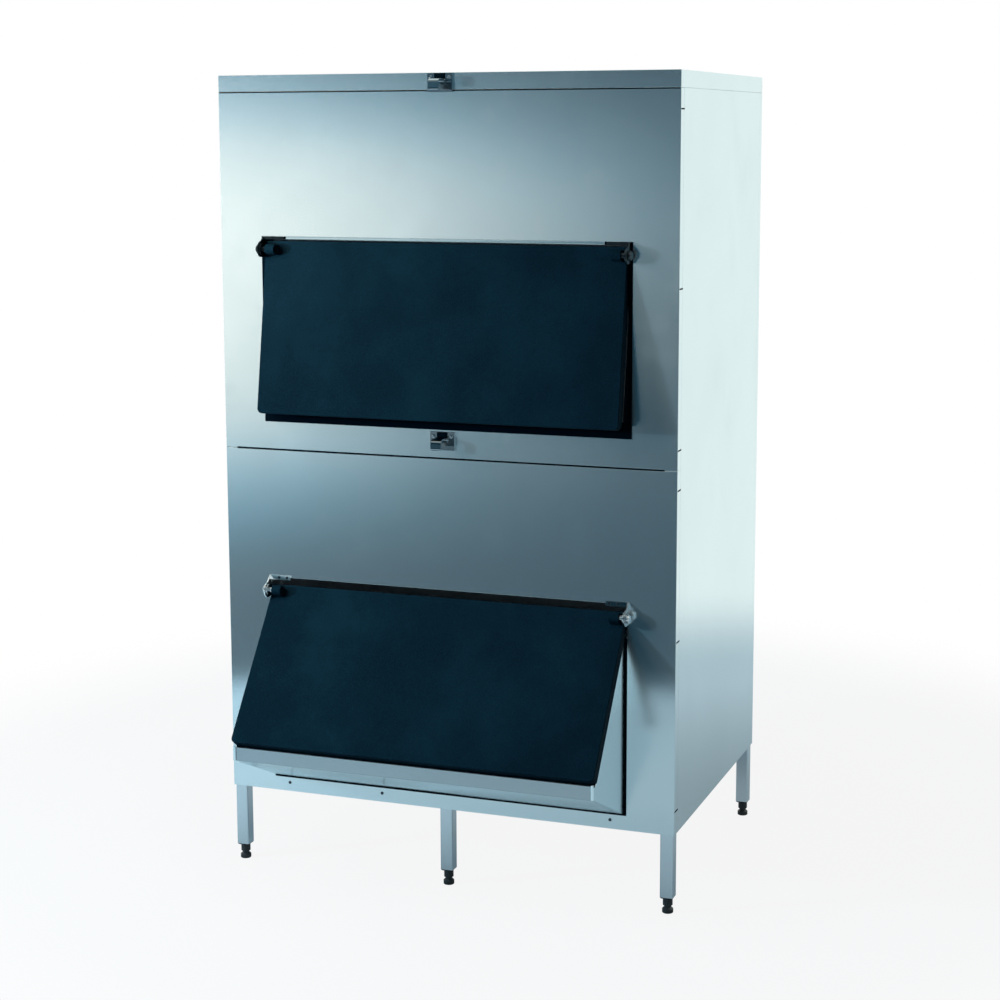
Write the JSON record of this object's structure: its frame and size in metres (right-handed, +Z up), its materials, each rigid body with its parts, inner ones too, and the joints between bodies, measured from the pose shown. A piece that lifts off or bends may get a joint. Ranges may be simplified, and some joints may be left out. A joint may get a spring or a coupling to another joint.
{
  "type": "ice storage bin",
  "caption": "Upright stainless ice storage bin on levelling feet, with tilting lift-up doors, a scoop chute and an open top that an ice machine stands on.",
  "frame": {"origin": "centre of the overall box on the surface that the feet stand on", "axes": "+Z up, +Y from the door side towards the back, +X along the front"},
  "size_m": [1.078, 0.9668, 1.838],
  "materials": {
    "satin_steel": "satin brushed stainless",
    "bright_steel": "brighter brushed stainless",
    "dark_steel": "dark plated steel",
    "tube_steel": "drawn square tube",
    "foam": "rigid foam",
    "liner_plastic": "smooth moulded liner",
    "door_plastic": "fine-grained black plastic",
    "black_plastic": "moulded black plastic",
    "foot_plastic": "moulded black foot",
    "rubber": "black rubber",
    "drain_plastic": "moulded plastic"
  },
  "bodies": {
    "cabinet": {"back_insulation": "foam", "back_panel": "satin_steel", "base_pan": "satin_steel", "chute_floor": "bright_steel", "chute_gasket": "rubber", "chute_left_cheek": "bright_steel", "chute_lip": "bright_steel", "chute_right_cheek": "bright_steel", "drain_outlet": "drain_plastic", "floor_insulation": "foam", "front_left_insulation": "foam", "front_left_leg": "tube_steel", "front_middle_insulation": "foam", "front_middle_leg": "tube_steel", "front_right_insulation": "foam", "front_right_leg": "tube_steel", "front_top_insulation": "foam", "left_insulation": "foam", "left_side_panel": "satin_steel", "lower_catch_buffer": "rubber", "lower_catch_pin": "dark_steel", "lower_catch_plate": "satin_steel", "lower_front_panel": "satin_steel", "lower_left_hinge_bracket": "bright_steel", "lower_left_hinge_pin": "dark_steel", "lower_right_hinge_bracket": "bright_steel", "lower_right_hinge_pin": "dark_steel", "rear_left_leg": "tube_steel", "rear_middle_leg": "tube_steel", "rear_right_leg": "tube_steel", "right_insulation": "foam", "right_side_panel": "satin_steel", "storage_liner": "liner_plastic", "top_frame": "satin_steel", "upper_catch_buffer": "rubber", "upper_catch_pin": "dark_steel", "upper_catch_plate": "satin_steel", "upper_door_frame": "black_plastic", "upper_drip_strip": "bright_steel", "upper_front_panel": "satin_steel", "upper_left_hinge_bracket": "dark_steel", "upper_left_hinge_pin": "dark_steel", "upper_right_hinge_bracket": "dark_steel", "upper_right_hinge_pin": "dark_steel"},
    "upper_door": {"upper_door_shell": "door_plastic", "upper_door_core": "foam", "upper_door_back_plate": "door_plastic"},
    "lower_door": {"lower_door_shell": "door_plastic", "lower_door_core": "foam", "lower_door_back_plate": "door_plastic"},
    "upper_hook": {"upper_hook": "bright_steel"},
    "lower_hook": {"lower_hook": "bright_steel"},
    "front_left_foot": {"front_left_foot": "foot_plastic"},
    "front_middle_foot": {"front_middle_foot": "foot_plastic"},
    "front_right_foot": {"front_right_foot": "foot_plastic"},
    "rear_left_foot": {"rear_left_foot": "foot_plastic"},
    "rear_middle_foot": {"rear_middle_foot": "foot_plastic"},
    "rear_right_foot": {"rear_right_foot": "foot_plastic"}
  },
  "joints": [
    {"name": "upper_door_hinge", "type": "hinge", "parent": "cabinet", "child": "upper_door", "pos_m": [0, -0.2726, 1.451], "axis": [-1, 0, 0], "range_deg": [0, 167.5]},
    {"name": "lower_door_hinge", "type": "hinge", "parent": "cabinet", "child": "lower_door", "pos_m": [0, -0.2726, 0.66701], "axis": [-1, 0, 0], "range_deg": [0, 140]},
    {"name": "upper_hook_pivot", "type": "hinge", "parent": "cabinet", "child": "upper_hook", "pos_m": [0, -0.2617, 1.821], "axis": [-1, 0, 0], "range_deg": [0, 45]},
    {"name": "lower_hook_pivot", "type": "hinge", "parent": "cabinet", "child": "lower_hook", "pos_m": [0, -0.2617, 1.037], "axis": [-1, 0, 0], "range_deg": [0, 45]},
    {"name": "front_left_foot_screw", "type": "slide", "parent": "cabinet", "child": "front_left_foot", "axis": [0, 0, -1], "range_m": [0, 0.02]},
    {"name": "front_middle_foot_screw", "type": "slide", "parent": "cabinet", "child": "front_middle_foot", "axis": [0, 0, -1], "range_m": [0, 0.02]},
    {"name": "front_right_foot_screw", "type": "slide", "parent": "cabinet", "child": "front_right_foot", "axis": [0, 0, -1], "range_m": [0, 0.02]},
    {"name": "rear_left_foot_screw", "type": "slide", "parent": "cabinet", "child": "rear_left_foot", "axis": [0, 0, -1], "range_m": [0, 0.02]},
    {"name": "rear_middle_foot_screw", "type": "slide", "parent": "cabinet", "child": "rear_middle_foot", "axis": [0, 0, -1], "range_m": [0, 0.02]},
    {"name": "rear_right_foot_screw", "type": "slide", "parent": "cabinet", "child": "rear_right_foot", "axis": [0, 0, -1], "range_m": [0, 0.02]}
  ]
}
